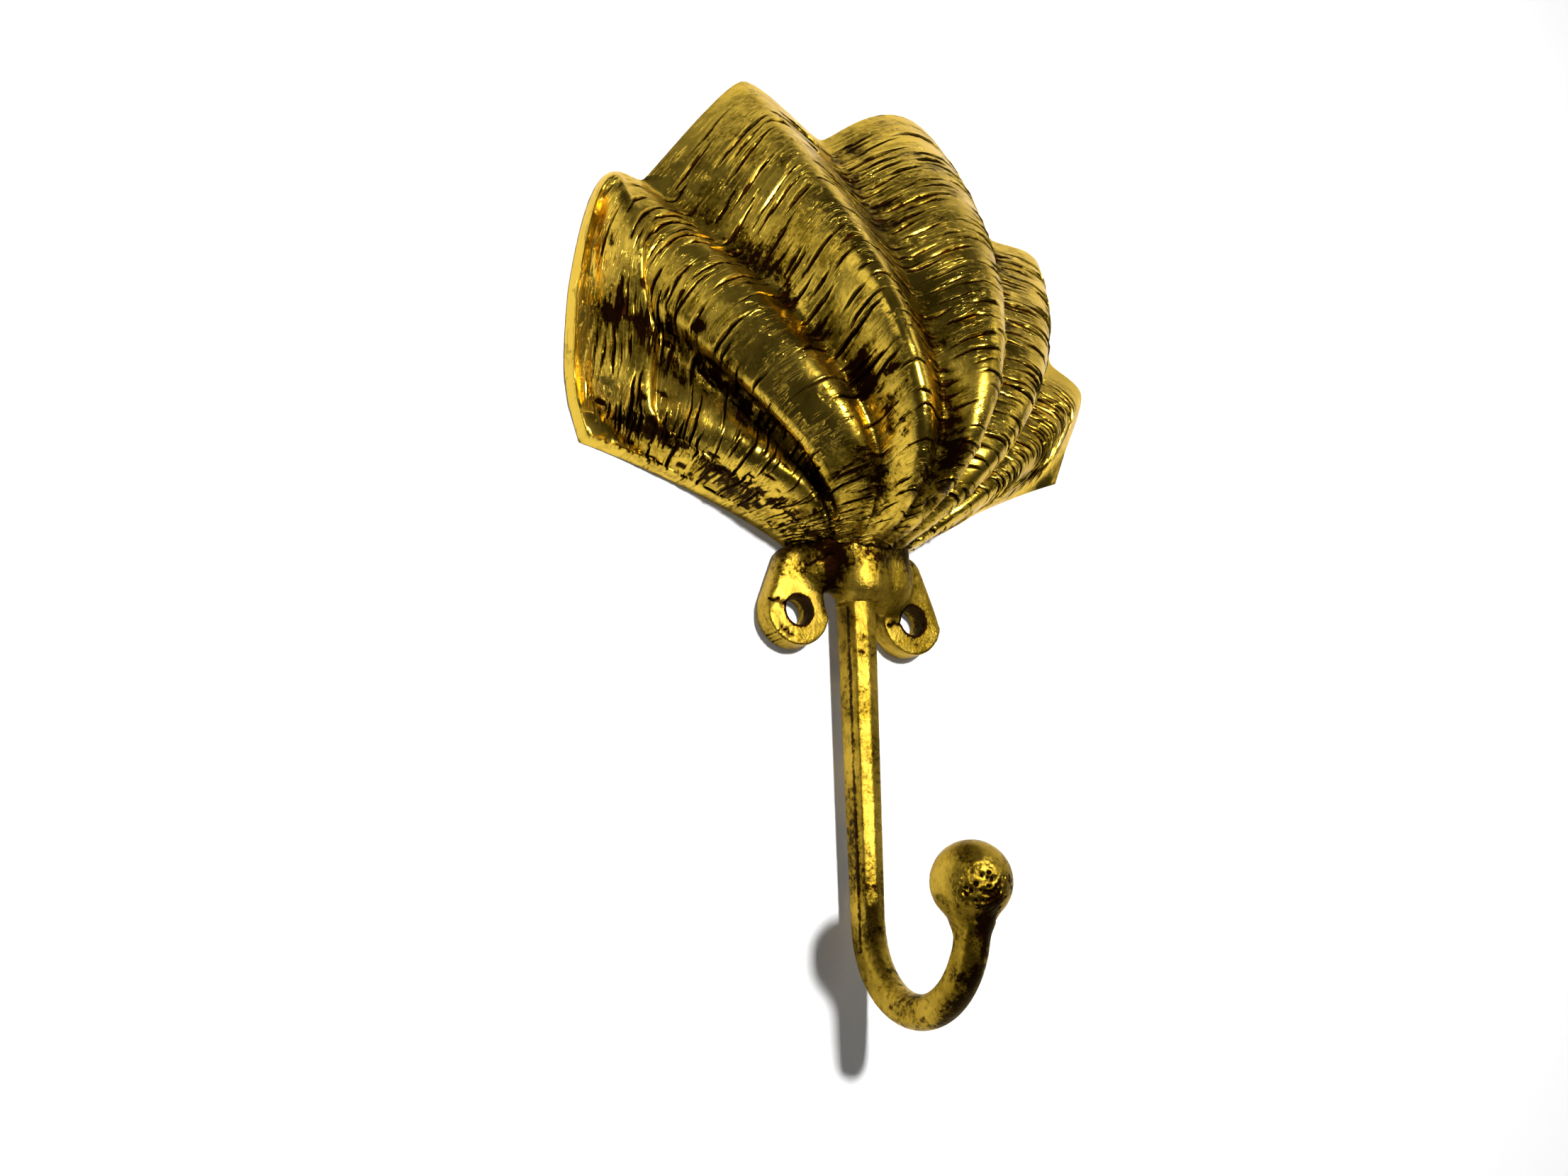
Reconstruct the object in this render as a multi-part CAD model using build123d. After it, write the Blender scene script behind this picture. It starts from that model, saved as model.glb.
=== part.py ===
from build123d import *
import os
from typing import NamedTuple

# A wall hook cast in one piece: a ribbed, hollow clam shell, a neck with two screw lugs, and a tapered hook that
# ends in a ball. X runs across, Z is up, the wall is the plane Y = 0 and the hook stands out of it towards -Y.
# The origin is midway between the screw holes. All sizes are in millimetres.

# Screw lugs
hole_spacing = 19.5
hole_radius = 2.15
lug_radius = 5.05
lug_thickness = 3.7
lug_edge_round = 1.2

# Neck and boss between the lugs and the shell
waist_half_width = 12.2
waist_height = 7.0
waist_round = 3.0
neck_top = 11.0
neck_depth = 8.6
neck_top_half_width = 8.0
neck_corner_round = 4.5
slot_top = 3.4
boss_radius = 4.4
boss_standoff = 4.9
boss_bottom = 1.6
boss_end_round = 2.6

# Hook
hook_offset = 0.2
rod_standoff = 3.8
rod_top_radius = 3.0
rod_low_radius = 2.4
bend_centre_height = -43.8
bend_radius = 12.2
limb_radius = 2.45
limb_top_radius = 2.9
ball_radius = 5.4
ball_height = -39.8

# Shell wall, and the flat land that the rim leaves on the wall
shell_wall = 4.2
rim_land = 4.0
umbo_wall = 4.6

# Root of the fan of ribs, where the shell rises from the wall behind the neck
root_half_width = 9.0
root_height = 8.0
root_sag = 1.3
shoulder_lift = 2.9

# Shape of each rib and valley: how far its shoulder spreads and rises, and where its brow is and how high
shoulder_spread = 0.32
shoulder_rise = 1.67
brow_place = 0.62
brow_rise = 0.74

# Crown heights of the ribs and of the valleys between them
main_rib = 32.4
side_rib = 22.6
low_rib = 14.0
middle_valley = 26.5
main_valley = 19.9
side_valley = 10.5
foot = 8.0

# How far the valleys are filled up to the ribs beside them at their shoulders, where the shell is almost smooth
shoulder_fill = 0.6

# Sideways bows of the same lines
main_bow = 5.7
side_bow = 6.6
low_bow = 1.4
main_valley_bow = 5.0
side_valley_bow = 2.0
edge_bow = 2.0

# How far the skin carries on sideways through a line before it turns: little makes a ridge, much a broad rib.
# At the rim the ribs end sharper, at this share of their breadth.
broad_rib = 2.8
even_rib = 1.9
narrow_rib = 1.3
crease = 0.7
rim_share = 0.5


class FanLine(NamedTuple):
    """A crest or valley: its crown height, its bow to the right, its breadth, and its tip on the wall."""

    crown: float
    bow: float
    breadth: float
    tip_x: float
    tip_z: float


# The fan lines, from the lower left corner round the rim to the lower right corner
fan = [
    FanLine(0, edge_bow, even_rib, -42.0, 21.5),
    FanLine(foot, 0, crease, -43.6, 27.0),
    FanLine(low_rib, -low_bow, even_rib, -44.2, 33.4),
    FanLine(side_valley, side_valley_bow, crease, -43.4, 44.5),
    FanLine(side_rib, -side_bow, broad_rib, -38.7, 61.0),
    FanLine(main_valley, main_valley_bow, crease, -31.6, 62.8),
    FanLine(main_rib, -main_bow, narrow_rib, -14.9, 82.5),
    FanLine(middle_valley, 0, crease, -1.0, 76.0),
    FanLine(main_rib, main_bow, broad_rib, 16.8, 83.4),
    FanLine(main_valley, -main_valley_bow, crease, 31.0, 66.0),
    FanLine(side_rib, side_bow, even_rib, 40.7, 63.5),
    FanLine(side_valley, -side_valley_bow, crease, 41.8, 46.5),
    FanLine(low_rib, low_bow, even_rib, 48.0, 41.9),
    FanLine(foot, 0, crease, 44.0, 32.0),
    FanLine(0, -edge_bow, even_rib, 41.3, 25.8),
]


def shoulder_crowns(lines):
    """The crown heights that the lines' shoulders go by: a valley's is nearer to the ribs beside it."""
    crowns = [line.crown for line in lines]
    levels = list(crowns)
    for i in range(1, len(lines) - 1):
        level_beside = (crowns[i - 1] + crowns[i + 1]) / 2
        levels[i] += shoulder_fill * max(level_beside - crowns[i], 0)
    return levels


def fan_poles(line, shoulder_crown, across, root_lift=0.0, land=0.0):
    """The four poles of a fan line, which rises steeply from its root, bows sideways and runs out to its tip."""
    root = Vector(root_half_width * across, 0, root_height + root_sag * across**2 + root_lift)
    run = Vector(line.tip_x, 0, line.tip_z) - root
    run = run * (1 - land / run.length)
    beside = Vector(run.Z, 0, -run.X) / run.length
    shoulder = root + Vector(shoulder_spread * root.X, -shoulder_rise * shoulder_crown, shoulder_lift)
    brow = root + run * brow_place + beside * line.bow + Vector(0, -brow_rise * line.crown, 0)
    return [root, shoulder, brow, root + run]


def skin_through(lines, places, **inset):
    """Smooth patches, each from one fan line to the next, that meet on the lines without a crease."""
    poles = [fan_poles(*values, **inset) for values in zip(lines, shoulder_crowns(lines), places)]
    last = len(poles) - 1
    patches = []
    for i in range(last):
        columns = []
        for k in range(4):
            before, near, far, after = (poles[min(max(j, 0), last)][k] for j in range(i - 1, i + 3))
            share = (rim_share if k == 3 else 1) / 6
            near_handle = near + (far - before) * (lines[i].breadth * share)
            far_handle = far - (after - near) * (lines[i + 1].breadth * share)
            columns.append([near, near_handle, far_handle, far])
        patches.append(Face.make_bezier_surface(columns))
    return patches


def wall_outline(patches):
    """The closed outline that the patches leave on the wall."""
    edges = ShapeList(edge for patch in patches for edge in patch.edges())
    return Wire(edges.filter_by_position(Axis.Y, -0.001, 0.001))


def make_shell():
    """The ribbed shell: an outer and an inner skin, and between them the flat ring of the rim."""
    places = [2 * i / (len(fan) - 1) - 1 for i in range(len(fan))]
    inner_lines = [line._replace(crown=line.crown - shell_wall) for line in fan]
    inner_places = list(places)
    share = shell_wall / foot
    for edge, beside in ((0, 1), (-1, -2)):
        mixed = (a + (b - a) * share for a, b in zip(fan[edge], fan[beside]))
        inner_lines[edge] = FanLine(*mixed)._replace(crown=0)
        inner_places[edge] += (places[beside] - places[edge]) * share
    outer = skin_through(fan, places)
    inner = skin_through(inner_lines, inner_places, root_lift=umbo_wall, land=rim_land)
    rim = Face(wall_outline(outer), [wall_outline(inner)])
    return Solid(Shell([*outer, rim, *inner]))


def make_lug(side):
    """The lug on one side with its arm, drawn on the wall, with a rounded front edge."""
    eye = Pos(side * hole_spacing / 2, 0) * Circle(lug_radius)
    waist = Pos(side * (waist_half_width - waist_round), waist_height) * Circle(waist_round)
    arm = extrude(Plane.XZ * make_hull((eye + waist).edges()), lug_thickness)
    return fillet(arm.faces().sort_by(Axis.Y)[0].edges(), lug_edge_round)


def neck_section(height, half_width, depth, corner_round):
    """A level section of the neck, flat on the wall, with rounded front corners."""
    section = Plane.XY.offset(height) * Pos(0, -depth / 2) * Rectangle(2 * half_width, depth)
    return fillet(section.vertices().group_by(Axis.Y)[0], corner_round)


def make_neck():
    """The neck, which grows out from between the lugs to the root of the shell, and the two lugs."""
    foot_section = neck_section(slot_top, hole_spacing / 2, lug_thickness, lug_edge_round)
    top_section = neck_section(neck_top, neck_top_half_width, neck_depth, neck_corner_round)
    return loft([foot_section, top_section]) + make_lug(-1) + make_lug(1)


def make_boss():
    """The rounded boss that the hook grows out of."""
    height = neck_top - boss_bottom
    boss = Pos(-hook_offset, -boss_standoff, boss_bottom + height / 2) * Cylinder(boss_radius, height)
    return fillet(boss.edges().sort_by(Axis.Z)[0], boss_end_round)


def make_hook():
    """The hook: a straight tapered rod, a half-round bend, and a limb that swells up to the ball."""
    rod_top = Plane((-hook_offset, -rod_standoff, neck_top - umbo_wall / 2), z_dir=(0, 0, -1))
    rod_foot = Plane((-hook_offset, -rod_standoff, bend_centre_height), z_dir=(0, 0, -1))
    limb_foot = Plane((-hook_offset, -rod_standoff - 2 * bend_radius, bend_centre_height), z_dir=(0, 0, 1))
    ball_middle = Plane((-hook_offset, -rod_standoff - 2 * bend_radius, ball_height), z_dir=(0, 0, 1))
    lowest = (-hook_offset, -rod_standoff - bend_radius, bend_centre_height - bend_radius)
    rod = loft([rod_top * Circle(rod_top_radius), rod_foot * Circle(rod_low_radius)])
    bend = sweep([rod_foot * Circle(rod_low_radius), limb_foot * Circle(limb_radius)],
                 path=ThreePointArc(rod_foot.origin, lowest, limb_foot.origin), multisection=True)
    limb = loft([limb_foot * Circle(limb_radius), ball_middle * Circle(limb_top_radius)])
    return rod + bend + limb + ball_middle * Sphere(ball_radius)


def make_holes():
    """The two screw holes, right through the lugs."""
    hole = Plane.XZ * Cylinder(hole_radius, 4 * lug_thickness)
    return [Pos(side * hole_spacing / 2, 0, 0) * hole for side in (-1, 1)]


body = make_shell() + make_neck() + make_boss() + make_hook()
body -= make_holes()

os.makedirs("parts", exist_ok=True)
export_step(body, "parts/shell_hook.step")
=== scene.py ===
import dataclasses
import logging
import math
from collections.abc import Callable
from dataclasses import dataclass, field
from enum import Enum
from functools import cached_property, partial

import bpy
import numpy as np
from mathutils import Matrix, Vector, noise


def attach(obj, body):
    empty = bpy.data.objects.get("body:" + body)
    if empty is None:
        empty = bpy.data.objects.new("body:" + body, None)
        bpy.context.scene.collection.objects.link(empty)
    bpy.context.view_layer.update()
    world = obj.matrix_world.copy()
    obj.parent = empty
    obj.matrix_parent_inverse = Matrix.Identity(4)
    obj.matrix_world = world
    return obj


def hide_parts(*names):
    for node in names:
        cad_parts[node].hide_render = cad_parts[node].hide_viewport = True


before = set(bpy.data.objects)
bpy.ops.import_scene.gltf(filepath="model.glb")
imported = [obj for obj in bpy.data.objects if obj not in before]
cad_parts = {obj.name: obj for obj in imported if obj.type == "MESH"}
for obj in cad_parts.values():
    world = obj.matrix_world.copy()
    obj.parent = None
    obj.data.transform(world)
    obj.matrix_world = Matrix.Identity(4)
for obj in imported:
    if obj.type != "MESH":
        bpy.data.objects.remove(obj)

# A wall hook cast in brass: a ribbed clam shell, a neck with two screw lugs, and a hook that ends in a ball.
# X runs across, Z is up, and the wall is the plane Y = 0. Sizes are in millimetres and become metres in meshes.

MM = 0.001
Triple = tuple[float, float, float]
log = logging.getLogger("wall_hook")


class Skin(Enum):
    """The two sides of the shell's wall."""

    OUTER = "outer"
    INNER = "inner"


def unit(values: np.ndarray) -> np.ndarray:
    """The values, held between 0 and 1."""
    return np.clip(values, 0, 1)


def bell(distance: np.ndarray, width: float | np.ndarray) -> np.ndarray:
    """1 where the distance is 0, fading to almost nothing at twice the width."""
    return np.exp(-(distance / width) ** 2)


def ripple(points: np.ndarray, size: float, octaves: int, shift: float = 0.0) -> np.ndarray:
    """A smooth random field.

    Args:
        points: where it is read, in millimetres, with the coordinates on the last axis.
        size: how far apart its bumps lie, in millimetres.
        octaves: how many finer layers it has.
        shift: moves the field, so that two uses differ.

    Returns:
        A value from about -1 to 1 for each point.
    """
    moved = points.reshape(-1, 3) / size + shift
    return np.array([noise.fractal(Vector(p), 0.6, 2.0, octaves) for p in moved]).reshape(points.shape[:-1])


@dataclass(frozen=True)
class FanLine:
    """A crest or valley of the shell: its crown height, bow to the right, breadth, and tip on the wall."""

    crown: float
    bow: float
    breadth: float
    tip_x: float
    tip_z: float

    def mixed(self, other: "FanLine", share: float, crown: float) -> "FanLine":
        """A line that lies a share of the way to another one, with a crown height of its own.

        Args:
            other: the line that it leans towards.
            share: how far it goes, from 0 to 1.
            crown: its crown height.

        Returns:
            The new line.
        """
        pairs = zip(dataclasses.astuple(self), dataclasses.astuple(other))
        return dataclasses.replace(FanLine(*(a + (b - a) * share for a, b in pairs)), crown=crown)


@dataclass(frozen=True)
class Fan:
    """The fan of ribs: cubic lines from a common root to the rim, and a smooth skin from line to line."""

    root_half_width: float = 9.0
    root_height: float = 8.0
    root_sag: float = 1.3
    wall: float = 4.2
    umbo_wall: float = 4.6
    rim_land: float = 4.0
    shoulder_spread: float = 0.32
    shoulder_rise: float = 1.67
    shoulder_lift: float = 2.9
    brow_place: float = 0.62
    brow_rise: float = 0.74
    rim_share: float = 0.5
    shoulder_fill: float = 0.6
    lines: tuple[FanLine, ...] = tuple(FanLine(*row) for row in (
        (0, 2.0, 1.9, -42.0, 21.5), (8.0, 0, 0.7, -43.6, 27.0), (14.0, -1.4, 1.9, -44.2, 33.4),
        (10.5, 2.0, 0.7, -43.4, 44.5), (22.6, -6.6, 2.8, -38.7, 61.0), (19.9, 5.0, 0.7, -31.6, 62.8),
        (32.4, -5.7, 1.3, -14.9, 82.5), (26.5, 0, 0.7, -1.0, 76.0), (32.4, 5.7, 2.8, 16.8, 83.4),
        (19.9, -5.0, 0.7, 31.0, 66.0), (22.6, 6.6, 1.9, 40.7, 63.5), (10.5, -2.0, 0.7, 41.8, 46.5),
        (14.0, 1.4, 1.9, 48.0, 41.9), (8.0, 0, 0.7, 44.0, 32.0), (0, -2.0, 1.9, 41.3, 25.8)))

    @property
    def patches(self) -> int:
        """How many strips of skin there are."""
        return len(self.lines) - 1

    def shoulder_crowns(self, lines: list[FanLine]) -> list[float]:
        """The crown heights that the shoulders go by: a valley's is nearer to the ribs beside it."""
        crowns = [line.crown for line in lines]
        levels = list(crowns)
        for i in range(1, len(lines) - 1):
            level_beside = (crowns[i - 1] + crowns[i + 1]) / 2
            levels[i] += self.shoulder_fill * max(level_beside - crowns[i], 0)
        return levels

    def poles(self, line: FanLine, shoulder_crown: float, across: float, skin: Skin) -> np.ndarray:
        """The four poles of one line of the fan.

        Args:
            line: the crest or valley.
            shoulder_crown: the crown height that its shoulder goes by.
            across: where its root is, from -1 at the left to 1 at the right.
            skin: the side of the wall.

        Returns:
            Its root, shoulder, brow and tip, in millimetres.
        """
        inside = skin is Skin.INNER
        lift = self.umbo_wall if inside else 0.0
        root = np.array([self.root_half_width * across, 0, self.root_height + self.root_sag * across**2 + lift])
        run = np.array([line.tip_x, 0, line.tip_z]) - root
        run *= 1 - (self.rim_land if inside else 0.0) / np.linalg.norm(run)
        beside = np.array([run[2], 0, -run[0]]) / np.linalg.norm(run)
        rise = -self.shoulder_rise * shoulder_crown
        shoulder = root + [self.shoulder_spread * root[0], rise, self.shoulder_lift]
        brow = root + run * self.brow_place + beside * line.bow - [0, self.brow_rise * line.crown, 0]
        return np.array([root, shoulder, brow, root + run])

    def points(self, along: np.ndarray, across: np.ndarray, skin: Skin) -> np.ndarray:
        """A grid of points on a skin.

        Args:
            along: places from the root, 0, to the rim, 1.
            across: places from the first line, 0, to the last, which is the number of patches.
            skin: the side of the wall.

        Returns:
            Points of shape (along, across, 3), in millimetres.
        """
        lines = list(self.lines)
        places = [2 * i / self.patches - 1 for i in range(self.patches + 1)]
        if skin is Skin.INNER:
            lines = [dataclasses.replace(line, crown=line.crown - self.wall) for line in lines]
            share = self.wall / self.lines[1].crown
            for edge, beside in ((0, 1), (-1, -2)):
                lines[edge] = self.lines[edge].mixed(self.lines[beside], share, 0)
                places[edge] += (places[beside] - places[edge]) * share
        levels = self.shoulder_crowns(lines)
        poles = np.array([self.poles(*values, skin) for values in zip(lines, levels, places)])
        reach = np.array([[line.breadth / 6 * share for share in (1, 1, 1, self.rim_share)] for line in lines])
        before, after = np.concatenate([poles[:1], poles[:-1]]), np.concatenate([poles[1:], poles[-1:]])
        turn = (after - before) * reach[:, :, None]
        corners = np.stack([poles[:-1], poles[:-1] + turn[:-1], poles[1:] - turn[1:], poles[1:]], axis=1)
        patch = np.clip(np.floor(across).astype(int), 0, self.patches - 1)
        return np.einsum("ai,cj,cjik->ack", self._weights(along), self._weights(across - patch), corners[patch])

    @staticmethod
    def _weights(places: np.ndarray) -> np.ndarray:
        """How much each of four poles counts at these places, from 0 to 1."""
        return np.stack([math.comb(3, k) * places**k * (1 - places) ** (3 - k) for k in range(4)], axis=1)

    def footprint(self, share: float, rows: int = 50, columns: int = 225) -> np.ndarray:
        """The shell's outline on the wall, drawn in towards its middle.

        Args:
            share: its size, where 1 is the whole outline.
            rows, columns: how many points its sides and its ends have.

        Returns:
            The points of the closed outline, in millimetres.
        """
        grid = self.points(np.linspace(0, 1, rows), np.linspace(0, self.patches, columns), Skin.OUTER)
        outline = np.concatenate([grid[:-1, 0], grid[-1, :-1], grid[:0:-1, -1], grid[0, :0:-1]])
        middle = (grid[0, columns // 2] + grid[-1, columns // 2]) / 2
        return middle + (outline - middle) * share

    def even_places(self, count: int) -> np.ndarray:
        """Places along a main rib that are evenly spaced in millimetres, from 0 to 1."""
        fine = np.linspace(0, 1, 2001)
        main_rib = self.lines[self.patches // 2 - 1]
        rib = self._weights(fine) @ self.poles(main_rib, main_rib.crown, 0, Skin.OUTER)
        travelled = np.concatenate([[0], np.cumsum(np.linalg.norm(np.diff(rib, axis=0), axis=1))])
        return np.interp(np.linspace(0, travelled[-1], count), travelled, fine)


@dataclass(frozen=True)
class Net:
    """The points of a skin in rows and columns, with the places of the rows along it and the columns across it."""

    points: np.ndarray
    along: np.ndarray
    across: np.ndarray

    @cached_property
    def runs(self) -> tuple[np.ndarray, np.ndarray]:
        """How the points move for one unit of place, along and across, in millimetres."""
        return np.gradient(self.points, self.along, axis=0), np.gradient(self.points, self.across, axis=1)

    @cached_property
    def paces(self) -> tuple[np.ndarray, np.ndarray]:
        """How far they move, along and across."""
        return np.linalg.norm(self.runs[0], axis=2), np.linalg.norm(self.runs[1], axis=2)

    @property
    def outward(self) -> np.ndarray:
        """The way out of the wall at each point, one long."""
        ways = np.cross(*self.runs)
        ways /= np.maximum(np.linalg.norm(ways, axis=2, keepdims=True), 1e-9)
        return ways * -np.sign(ways[len(self.along) // 2, len(self.across) // 2, 1])

    @property
    def from_rim(self) -> np.ndarray:
        """How far each point is from the end of its own column at the rim, in millimetres."""
        return np.linalg.norm(self.points[-1:] - self.points, axis=2)

    @property
    def turned(self) -> "Net":
        """The same net with its rows as columns."""
        return Net(self.points.transpose(1, 0, 2), self.across, self.along)

    def nearest(self, along: float, across: float) -> tuple[int, int]:
        """The row and column at a place."""
        return (min(np.searchsorted(self.along, along), len(self.along) - 1),
                min(np.searchsorted(self.across, across), len(self.across) - 1))


@dataclass(frozen=True)
class GrowthLines:
    """Spindle-shaped lines cut across the ribs of the shell, in broken rows from the root to the rim."""

    seed: int = 7
    first_row: float = 2.0
    last_row_margin: float = 1.5
    row_gap: float = 1.8
    row_jitter: float = 0.32
    row_start: float = 0.3
    half_length: tuple[float, float] = (1.5, 6.5)
    gap: tuple[float, float] = (0.2, 4.0)
    size_at_root: float = 0.3
    growth_length: float = 45.0
    half_width: tuple[float, float] = (0.12, 0.22)
    end_width: float = 0.35
    depth: tuple[float, float] = (0.08, 0.5)
    slant: float = 0.05
    wave: float = 0.1
    wave_length: float = 5.0
    lip: float = 0.75
    lip_offset: float = 2.1
    least_pace: float = 0.1

    def cut(self, net: Net) -> np.ndarray:
        """Cuts the lines into a skin.

        Args:
            net: the skin, whose rows the rows of lines follow.

        Returns:
            For each point, the depth of the cuts in millimetres, where a raised lip is negative.
        """
        draw = np.random.default_rng(self.seed)
        pace_along, pace_across = net.paces
        depths, lips = np.zeros(pace_along.shape), np.zeros(pace_along.shape)
        middle = len(net.across) // 2
        travelled = np.concatenate([[0], np.cumsum(np.diff(net.along) * pace_along[1:, middle])])
        for row in np.arange(self.first_row, travelled[-1] - self.last_row_margin, self.row_gap):
            place = net.across[0] + draw.uniform(0, self.row_start)
            while place < net.across[-1]:
                here = row + draw.normal(0, self.row_jitter)
                grown = min(1.0, self.size_at_root + here / self.growth_length)
                s0 = np.interp(here, travelled, net.along)
                half = draw.uniform(*self.half_length) * grown
                pace = max(pace_across[net.nearest(s0, place)], self.least_pace)
                self._cut_one(draw, net, depths, lips, s0, place + half / pace, half)
                place += (2 * half + draw.uniform(*self.gap) * grown) / pace
        return depths - lips * self.lip

    def _cut_one(self, draw: np.random.Generator, net: Net, depths: np.ndarray, lips: np.ndarray,
                 s0: float, t0: float, half: float) -> None:
        """Cuts one spindle around the place (s0, t0).

        Args:
            draw: the source of its width, depth, slant and wave.
            net: the skin.
            depths, lips: the fields that it is cut into.
            s0, t0: the spindle's middle.
            half: half its length, in millimetres.
        """
        pace_along, pace_across = net.paces
        width, depth = draw.uniform(*self.half_width), draw.uniform(*self.depth)
        slant, phase = draw.normal(0, self.slant), draw.uniform(0, 2 * math.pi)
        here = net.nearest(s0, t0)
        reach_s = (4 * width + abs(slant) * half + self.wave) / pace_along[here]
        reach_t = half / max(pace_across[here], self.least_pace)
        rows = slice(*np.searchsorted(net.along, (s0 - reach_s, s0 + reach_s)))
        columns = slice(*np.searchsorted(net.across, (t0 - reach_t, t0 + reach_t)))
        x = (net.across[columns][None, :] - t0) * pace_across[rows, columns]
        y = (net.along[rows][:, None] - s0) * pace_along[rows, columns] + slant * x
        y += self.wave * (np.sin(2 * math.pi * x / self.wave_length + phase) - math.sin(phase))
        taper = unit(1 - (x / half) ** 2)
        narrow = width * (self.end_width + (1 - self.end_width) * taper)
        for layer, offset in ((depths, 0.0), (lips, self.lip_offset)):
            spindle = depth * taper * bell(y - offset * narrow, narrow)
            layer[rows, columns] = np.maximum(layer[rows, columns], spindle)


@dataclass(frozen=True)
class Patch:
    """A torn patch of patina, or of bright polish where its darkness is negative, at a place on the fan."""

    across: float
    along: float
    half_width: float
    half_length: float
    darkness: float
    edge: float = 0.9
    fray: float = 1.1
    crispness: float = 3.0

    def sides(self, net: Net) -> tuple[np.ndarray, np.ndarray]:
        """How far each column and each row is from the patch's middle, in half widths and half lengths."""
        return ((net.across[None, :] - self.across) / self.half_width,
                (net.along[:, None] - self.along) / self.half_length)

    def shade(self, net: Net, torn: np.ndarray) -> np.ndarray:
        """How much the patch darkens each point of a net.

        Args:
            net: the skin.
            torn: a rough field from about -1 to 1, which frays the patch's edge.

        Returns:
            The added stain.
        """
        return self.darkness * unit((self.edge - np.hypot(*self.sides(net)) + self.fray * torn) * self.crispness)


class Nodes:
    """The node tree of a new material."""

    def __init__(self, name: str) -> None:
        """Starts a material of this name."""
        self.material = bpy.data.materials.new(name)
        self.material.use_nodes = True
        self.tree = self.material.node_tree
        self.shader = self.tree.nodes["Principled BSDF"]

    def feed(self, node: bpy.types.Node, inputs: dict[str | int, object]) -> None:
        """Gives a node its inputs: each, by its name or number, a value, or a socket that is linked to it."""
        for key, value in inputs.items():
            if isinstance(value, bpy.types.NodeSocket):
                self.tree.links.new(value, node.inputs[key])
            else:
                node.inputs[key].default_value = value

    def add(self, kind: str, inputs: dict[str | int, object], **settings: object) -> bpy.types.bpy_prop_collection:
        """Adds a node.

        Args:
            kind: its type, without the prefix that all types have.
            inputs: its inputs, as feed takes them.
            **settings: its own settings.

        Returns:
            Its outputs.
        """
        node = self.tree.nodes.new("ShaderNode" + kind)
        for name, value in settings.items():
            setattr(node, name, value)
        self.feed(node, inputs)
        return node.outputs

    def share(self, name: str) -> bpy.types.NodeSocket:
        """A point attribute that goes from 0 to 1."""
        return self.add("Attribute", {}, attribute_name=name)["Fac"]

    def cloud(self, place: bpy.types.NodeSocket, scale: float, detail: float, roughness: float = 0.6,
              distortion: float = 0.0) -> bpy.types.NodeSocket:
        """A soft noise.

        Args:
            place: the coordinates that it is read at.
            scale: how many of its cells fit in one unit of them.
            detail, roughness, distortion: its finer layers, their strength, and how far it is bent.

        Returns:
            A value from 0 to 1, mostly near 0.5.
        """
        return self.add("TexNoise", {"Vector": place, "Scale": scale, "Detail": detail, "Roughness": roughness,
                                     "Distortion": distortion})["Fac"]

    def ramp(self, source: bpy.types.NodeSocket, low: float, high: float) -> bpy.types.NodeSocket:
        """Smoothly from 0 to 1 as the source goes from low to high."""
        inputs = {"Value": source, "From Min": low, "From Max": high}
        return self.add("MapRange", inputs, interpolation_type="SMOOTHSTEP")["Result"]

    def combine(self, kind: str, a: bpy.types.NodeSocket, b: bpy.types.NodeSocket | float,
                clamp: bool = True) -> bpy.types.NodeSocket:
        """The two values joined by a maths operation, and kept from 0 to 1 where clamp is true."""
        return self.add("Math", {0: a, 1: b}, operation=kind, use_clamp=clamp)["Value"]

    def added(self, a: bpy.types.NodeSocket, b: bpy.types.NodeSocket, amount: float,
              middle: float = 0.0) -> bpy.types.NodeSocket:
        """The first value with this amount of the second added, counted from the second's middle."""
        if middle:
            b = self.combine("SUBTRACT", b, middle, False)
        return self.combine("ADD", a, self.combine("MULTIPLY", b, amount, False), False)

    def blend(self, share: bpy.types.NodeSocket, a: object, b: object) -> bpy.types.NodeSocket:
        """A colour that goes from a to b; each is a colour with its alpha, or a socket."""
        return self.add("Mix", {"Factor": share, 6: a, 7: b}, data_type="RGBA")[2]

    def bump(self, height: bpy.types.NodeSocket, depth: float, under: bpy.types.NodeSocket | None,
             strength: float = 1.0, invert: bool = False) -> bpy.types.NodeSocket:
        """Fine relief.

        Args:
            height: the height from 0 to 1.
            depth: how much that is, in millimetres.
            under: the relief that it lies on, if any.
            strength: how strongly it shows.
            invert: whether it goes inwards.

        Returns:
            The normal with this relief.
        """
        inputs = {"Height": height, "Distance": depth * MM, "Strength": strength}
        return self.add("Bump", inputs | ({"Normal": under} if under else {}), invert=invert)["Normal"]


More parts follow.
